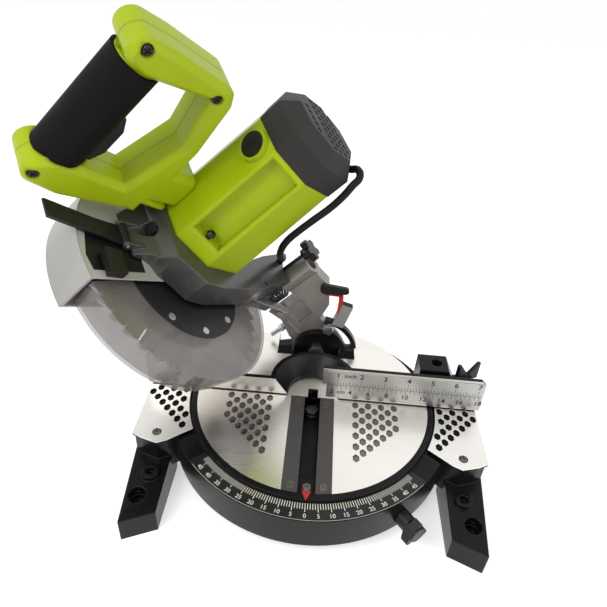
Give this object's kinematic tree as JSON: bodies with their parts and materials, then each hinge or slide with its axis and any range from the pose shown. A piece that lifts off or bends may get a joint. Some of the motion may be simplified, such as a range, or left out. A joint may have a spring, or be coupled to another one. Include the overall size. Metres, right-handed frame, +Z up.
{
  "type": "mitre saw",
  "caption": "Bench bevel mitre saw with a turning table, a split fence, a tilting and swinging head, a motor, a guarded round blade and a loop handle.",
  "frame": {"origin": "centre of the rectangle of bench holes, on the bench plane under the feet", "axes": "+Z up, -Y towards the person who saws, +X to that person's right"},
  "size_m": [0.4301, 0.304, 0.4484],
  "materials": {
    "gloss_black": "gloss",
    "polished_aluminium": "polished",
    "dark_insert": "satin",
    "printed_scale": "satin",
    "pale_scale": "satin",
    "zinc_steel": "zinc plated",
    "black_oxide_steel": "black oxide",
    "black_plastic": "satin",
    "red_plastic": "satin",
    "grey_casting": "satin",
    "light_casting": "cast satin",
    "lime_plastic": "satin",
    "dark_plastic": "satin",
    "grip_rubber": "matt, finely ribbed",
    "smoked_guard": "smoked, clear",
    "blade_steel": "ground",
    "motor_iron": "laminated",
    "carbon": "matt"
  },
  "bodies": {
    "stand": {"base_casting": "gloss_black", "left_wing_plate": "polished_aluminium", "right_wing_plate": "polished_aluminium", "wing_plate_screws": "zinc_steel", "mitre_scale": "printed_scale", "fence": "gloss_black", "fence_ruler": "polished_aluminium", "fence_bolts": "zinc_steel", "mitre_pivot_bolt": "zinc_steel"},
    "mitre_lock": {"mitre_lock_knob": "black_plastic"},
    "clamp_lock": {"clamp_lock_screw": "black_plastic"},
    "table": {"turntable": "gloss_black", "left_table_plate": "polished_aluminium", "right_table_plate": "polished_aluminium", "left_insert": "dark_insert", "right_insert": "dark_insert", "insert_screws": "zinc_steel", "mitre_pointer": "red_plastic", "bevel_scale": "pale_scale", "bevel_pivot_bolt": "zinc_steel"},
    "bracket": {"tilt_bracket": "gloss_black", "bevel_pointer": "red_plastic", "bevel_lock_bolt": "zinc_steel", "bevel_stop_screw": "zinc_steel", "chop_pivot_pin": "zinc_steel", "return_spring": "black_oxide_steel"},
    "bevel_lever": {"bevel_lock_lever": "black_plastic"},
    "hold_down": {"chop_lock_pin": "black_plastic"},
    "link": {"guard_link": "zinc_steel"},
    "head": {"arm_casting": "grey_casting", "upper_guard": "light_casting", "guard_latch": "black_plastic", "motor_housing": "lime_plastic", "motor_end_cap": "dark_plastic", "brush_caps": "black_plastic", "brushes": "carbon", "stator": "motor_iron", "bearings": "zinc_steel", "handle_lower_shell": "lime_plastic", "handle_upper_shell": "lime_plastic", "grip_cover": "grip_rubber", "handle_screws": "black_oxide_steel", "housing_screws": "black_oxide_steel", "switch_body": "black_plastic", "motor_lead": "grip_rubber", "lever_hinge_pin": "zinc_steel"},
    "trigger": {"trigger": "black_plastic"},
    "spindle_lock": {"spindle_lock_button": "black_plastic"},
    "release": {"release_lever": "black_plastic"},
    "blade": {"saw_blade": "blade_steel", "arbor_shaft": "zinc_steel", "inner_flange": "zinc_steel", "outer_flange": "zinc_steel", "arbor_bolt": "black_oxide_steel", "arbor_gear": "black_oxide_steel"},
    "rotor": {"armature": "motor_iron", "cooling_fan": "black_plastic"},
    "guard": {"lower_guard": "smoked_guard", "guard_hub_plate": "black_plastic", "guard_rivets": "zinc_steel"}
  },
  "joints": [
    {"name": "mitre_turn", "type": "hinge", "parent": "stand", "child": "table", "pos_m": [0, 0.021, 0.0635], "axis": [0, 0, 1], "range_deg": [-45, 45]},
    {"name": "bevel_tilt", "type": "hinge", "parent": "table", "child": "bracket", "pos_m": [0, 0.105, 0.0635], "axis": [0, 1, 0], "range_deg": [0, 45]},
    {"name": "chop", "type": "hinge", "parent": "bracket", "child": "head", "pos_m": [-0.06576, 0.116, 0.12926], "axis": [0.7071, 0, 0.7071], "range_deg": [0, 50], "stiffness_Nm_per_rad": 6, "springref_deg": -91.67},
    {"name": "guard_swing", "type": "hinge", "parent": "head", "child": "guard", "pos_m": [-0.14141, 0.01605, 0.20491], "axis": [0.7071, 0, 0.7071], "range_deg": [-155.5, 0]},
    {"name": "link_swing", "type": "hinge", "parent": "bracket", "child": "link", "pos_m": [-0.04808, 0.103, 0.11158], "axis": [0.7071, 0, 0.7071], "range_deg": [0, 53]},
    {"name": "blade_spin", "type": "hinge", "parent": "head", "child": "blade", "pos_m": [-0.14141, 0.01605, 0.20491], "axis": [0.7071, 0, 0.7071], "continuous": true},
    {"name": "rotor_spin", "type": "hinge", "parent": "head", "child": "rotor", "pos_m": [-0.14993, 0.05103, 0.21343], "axis": [0.7071, 0, 0.7071], "continuous": true},
    {"name": "trigger_pull", "type": "slide", "parent": "head", "child": "trigger", "axis": [-0.5417, -0.6428, 0.5417], "range_m": [0, 0.005], "stiffness_N_per_m": 400, "springref_m": -0.004},
    {"name": "spindle_lock_push", "type": "slide", "parent": "head", "child": "spindle_lock", "axis": [0.5417, 0.6428, -0.5417], "range_m": [0, 0.004], "stiffness_N_per_m": 400, "springref_m": -0.003},
    {"name": "release_swing", "type": "hinge", "parent": "head", "child": "release", "pos_m": [-0.17407, -0.01365, 0.26586], "axis": [-0.4545, 0.766, 0.4545], "range_deg": [0, 6], "stiffness_Nm_per_rad": 0.3, "springref_deg": -28.65},
    {"name": "mitre_lock_turn", "type": "hinge", "parent": "stand", "child": "mitre_lock", "pos_m": [0.09235, -0.0972, 0.0335], "axis": [0.6157, -0.788, 0], "range_deg": [-90, 180]},
    {"name": "clamp_lock_turn", "type": "hinge", "parent": "stand", "child": "clamp_lock", "pos_m": [0.172, 0.056, 0.0755], "axis": [0, 0, 1], "range_deg": [-180, 180]},
    {"name": "bevel_lever_turn", "type": "hinge", "parent": "bracket", "child": "bevel_lever", "pos_m": [0.00424, 0.109, 0.1526], "axis": [0, 1, 0], "range_deg": [-65, 0]},
    {"name": "hold_down_pull", "type": "slide", "parent": "bracket", "child": "hold_down", "axis": [0.7071, 0, 0.7071], "range_m": [0, 0.008], "stiffness_N_per_m": 300, "springref_m": -0.004}
  ],
  "couplings": [
    {"joint": "guard_swing", "follows": "chop", "ratio": -3.1},
    {"joint": "link_swing", "follows": "chop", "ratio": 1.05},
    {"joint": "rotor_spin", "follows": "blade_spin", "ratio": -2.6154}
  ]
}
